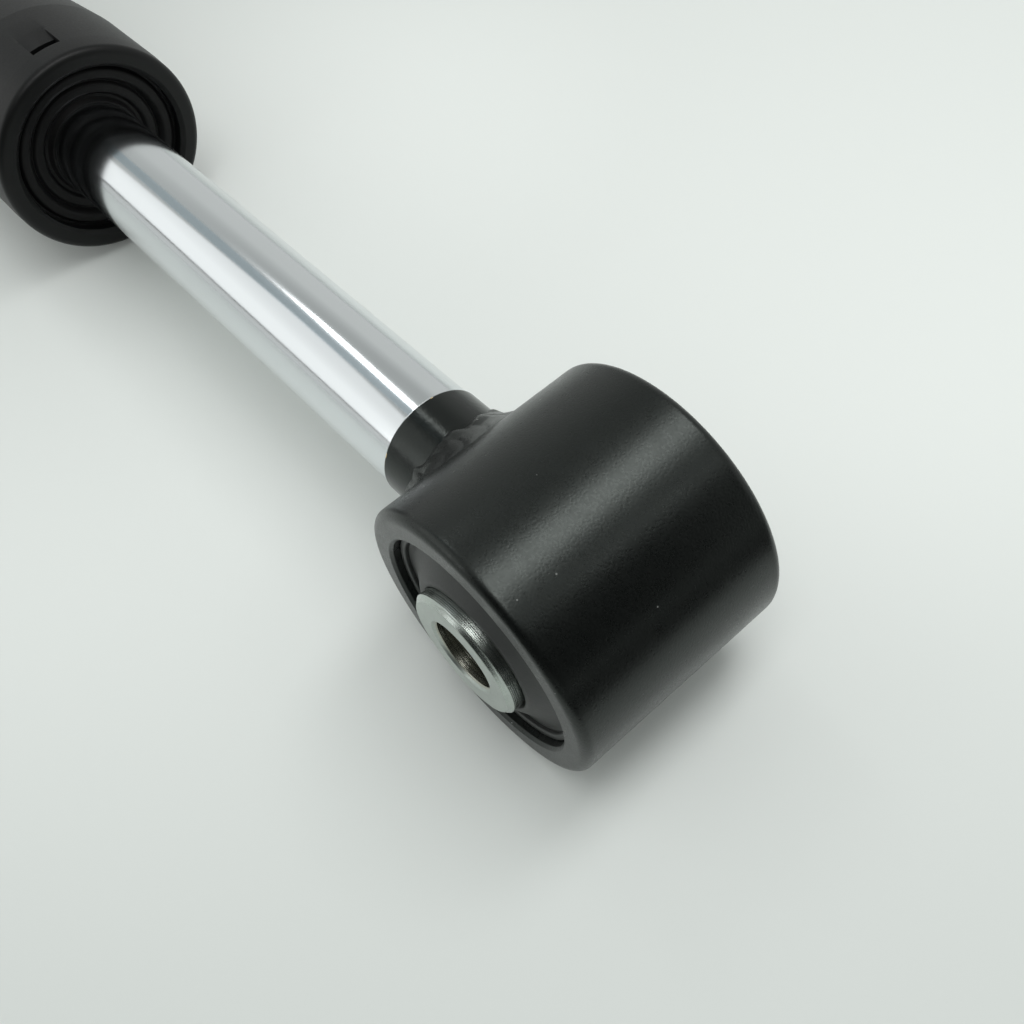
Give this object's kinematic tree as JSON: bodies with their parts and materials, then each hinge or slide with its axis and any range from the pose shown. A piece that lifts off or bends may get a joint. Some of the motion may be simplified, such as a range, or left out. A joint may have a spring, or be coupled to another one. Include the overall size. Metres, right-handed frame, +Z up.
{
  "type": "gas spring",
  "caption": "Gas spring: a chromed piston rod slides in a black pressure tube with an end cap, and each end has a welded eye with a rubber bush.",
  "frame": {"origin": "centre of the base eye's bolt bore", "axes": "+X along the tube and rod towards the rod's eye, +Y along both bolt bores, +Z up"},
  "size_m": [0.4283, 0.0458, 0.0482],
  "materials": {
    "black_paint": "satin black paint with fine orange peel",
    "chrome": "polished hard chrome",
    "zinc_plate": "turned and bright zinc-plated",
    "dark_steel": "dark phosphated steel",
    "bush_rubber": "matte moulded rubber",
    "cap_plastic": "satin moulded black",
    "seal_rubber": "matte moulded rubber",
    "plain_steel": "plain machined steel",
    "alloy": "machined alloy",
    "bearing_bronze": "plain bronze bearing",
    "ring_plastic": "filled slide-ring plastic"
  },
  "bodies": {
    "cylinder": {"pressure_tube": "black_paint", "base_plug": "black_paint", "base_weld": "black_paint", "base_eye_ring": "black_paint", "base_eye_weld": "black_paint", "base_bush_shell": "dark_steel", "base_bush_rubber": "bush_rubber", "end_cap": "cap_plastic", "wiper_seal": "seal_rubber", "rod_guide": "alloy", "guide_bush": "bearing_bronze", "guide_o_ring": "seal_rubber", "rod_seal": "seal_rubber", "seal_washer": "plain_steel"},
    "slide_ring": {"piston_ring": "ring_plastic"},
    "rod": {"piston_rod": "chrome", "rod_collar": "black_paint", "rod_eye_weld": "black_paint", "rod_eye_ring": "black_paint", "rod_bush_shell": "dark_steel", "rod_bush_rubber": "bush_rubber", "piston": "alloy", "throttle_disc": "plain_steel", "piston_front_washer": "plain_steel", "piston_rear_washer": "plain_steel", "piston_nut": "plain_steel", "stop_buffer": "seal_rubber"},
    "rod_sleeve": {"rod_bush_sleeve": "zinc_plate"},
    "base_sleeve": {"base_bush_sleeve": "zinc_plate"}
  },
  "joints": [
    {"name": "rod_slide", "type": "slide", "parent": "cylinder", "child": "slide_ring", "axis": [-1, 0, 0], "range_m": [0, 0.1], "stiffness_N_per_m": 1500, "springref_m": -0.4},
    {"name": "rod_spin", "type": "hinge", "parent": "slide_ring", "child": "rod", "pos_m": [0.1765, 0, 0], "axis": [1, 0, 0], "continuous": true},
    {"name": "rod_bush_twist", "type": "hinge", "parent": "rod", "child": "rod_sleeve", "pos_m": [0.38, 0, 0], "axis": [0, 1, 0], "range_deg": [-15, 15], "stiffness_Nm_per_rad": 70},
    {"name": "base_bush_twist", "type": "hinge", "parent": "cylinder", "child": "base_sleeve", "pos_m": [0, 0, 0], "axis": [0, 1, 0], "range_deg": [-15, 15], "stiffness_Nm_per_rad": 70}
  ]
}
